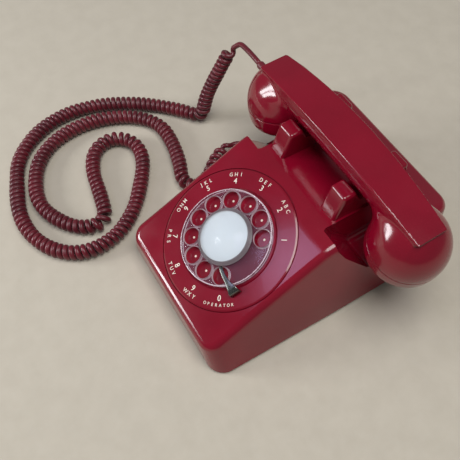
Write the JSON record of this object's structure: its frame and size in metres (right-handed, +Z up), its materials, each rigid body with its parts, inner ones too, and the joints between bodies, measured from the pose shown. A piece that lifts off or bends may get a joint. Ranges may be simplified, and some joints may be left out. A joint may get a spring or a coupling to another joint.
{
  "type": "rotary telephone",
  "caption": "Desk telephone with a clear rotary finger wheel, a sloping moulded housing, a cradle with an arched handset, and a curly handset cord.",
  "frame": {"origin": "centre of the footprint on the table, midway between the handset's two ends", "axes": "+Z up, the dial faces -Y, +X to the right as seen from the dial's side"},
  "size_m": [0.3497, 0.2933, 0.122],
  "materials": {
    "shell_red": "polished moulded plastic",
    "cord_red": "satin vinyl",
    "clear_plastic": "clear moulded plastic",
    "plunger_clear": "smooth",
    "card_white": "card",
    "stop_chrome": "bright plated",
    "plate_steel": "baked enamel",
    "feet_rubber": "matte",
    "screw_steel": "plated",
    "zinc": "zinc plated",
    "spring_steel": "blued",
    "shaft_steel": "ground",
    "gear_brass": "cut brass",
    "gong_brass": "spun",
    "coil_copper": "wound tape",
    "black_plastic": "moulded",
    "capsule_metal": "pressed"
  },
  "bodies": {
    "base": {"housing": "shell_red", "base_plate": "plate_steel", "rubber_feet": "feet_rubber", "housing_screws": "screw_steel", "line_grommet": "feet_rubber", "cord_grommet": "cord_red", "number_ring": "shell_red", "finger_stop": "stop_chrome", "dial_chassis": "zinc", "dial_contacts": "black_plastic", "dial_bracket": "zinc", "dial_spring": "spring_steel", "ringer_frame": "zinc", "ringer_coils": "coil_copper", "gong_high": "gong_brass", "gong_low": "gong_brass", "gong_posts": "zinc", "gong_screws": "screw_steel", "network_block": "black_plastic", "terminal_screws": "screw_steel", "hook_bracket": "zinc", "hook_contacts": "black_plastic", "cord_coil": "cord_red", "cord_lead": "cord_red", "cord_tail": "cord_red"},
    "dial": {"finger_wheel": "clear_plastic", "number_card": "card_white", "card_backing": "card_white", "card_retainer": "clear_plastic", "dial_shaft": "shaft_steel", "drive_gear": "gear_brass"},
    "pulse": {"pulse_pinion": "gear_brass"},
    "governor": {"governor": "gear_brass"},
    "hook": {"hook_lever": "zinc"},
    "left_plunger": {"plunger_left": "plunger_clear"},
    "right_plunger": {"plunger_right": "plunger_clear"},
    "clapper": {"bell_clapper": "shaft_steel"},
    "volume": {"volume_wheel": "black_plastic"},
    "handset": {"handset_handle": "shell_red", "receiver_cap": "shell_red", "transmitter_cap": "shell_red", "receiver_unit": "capsule_metal", "transmitter_unit": "capsule_metal", "transmitter_holder": "black_plastic", "handset_bushing": "cord_red"}
  },
  "joints": [
    {"name": "dial_spin", "type": "hinge", "parent": "base", "child": "dial", "pos_m": [-0.005, -0.052, 0.0608], "axis": [0, 0.4305, -0.9026], "range_deg": [0, 330], "stiffness_Nm_per_rad": 0.012, "springref_deg": -171.89},
    {"name": "pulse_spin", "type": "hinge", "parent": "base", "child": "pulse", "pos_m": [-0.03515, -0.04468, 0.04546], "axis": [0, 0.4305, -0.9026], "range_deg": [-1325, 1]},
    {"name": "governor_spin", "type": "hinge", "parent": "base", "child": "governor", "pos_m": [-0.03515, -0.02606, 0.05323], "axis": [0, 0.4305, -0.9026], "range_deg": [-1, 5285]},
    {"name": "handset_lift", "type": "slide", "parent": "base", "child": "handset", "axis": [0, 0, 1], "range_m": [0, 0.1]},
    {"name": "left_plunger_rise", "type": "slide", "parent": "base", "child": "left_plunger", "axis": [0, 0, 1], "range_m": [0, 0.0081]},
    {"name": "right_plunger_rise", "type": "slide", "parent": "base", "child": "right_plunger", "axis": [0, 0, 1], "range_m": [0, 0.0081]},
    {"name": "hook_turn", "type": "hinge", "parent": "base", "child": "hook", "pos_m": [-0.005, 0.02, 0.058], "axis": [1, 0, 0], "range_deg": [0, 15]},
    {"name": "clapper_swing", "type": "hinge", "parent": "base", "child": "clapper", "pos_m": [-0.005, 0.047, 0.02], "axis": [0, 0, 1], "range_deg": [-5, 5], "stiffness_Nm_per_rad": 0.004},
    {"name": "volume_turn", "type": "hinge", "parent": "base", "child": "volume", "pos_m": [0.051, 0.03, 0.0125], "axis": [1, 0, 0], "range_deg": [0, 90]}
  ],
  "couplings": [
    {"joint": "pulse_spin", "follows": "dial_spin", "ratio": -4},
    {"joint": "governor_spin", "follows": "dial_spin", "ratio": 16},
    {"joint": "left_plunger_rise", "follows": "handset_lift", "ratio": 0.08},
    {"joint": "right_plunger_rise", "follows": "handset_lift", "ratio": 0.08},
    {"joint": "hook_turn", "follows": "handset_lift", "rad_per_m": 2.443}
  ]
}
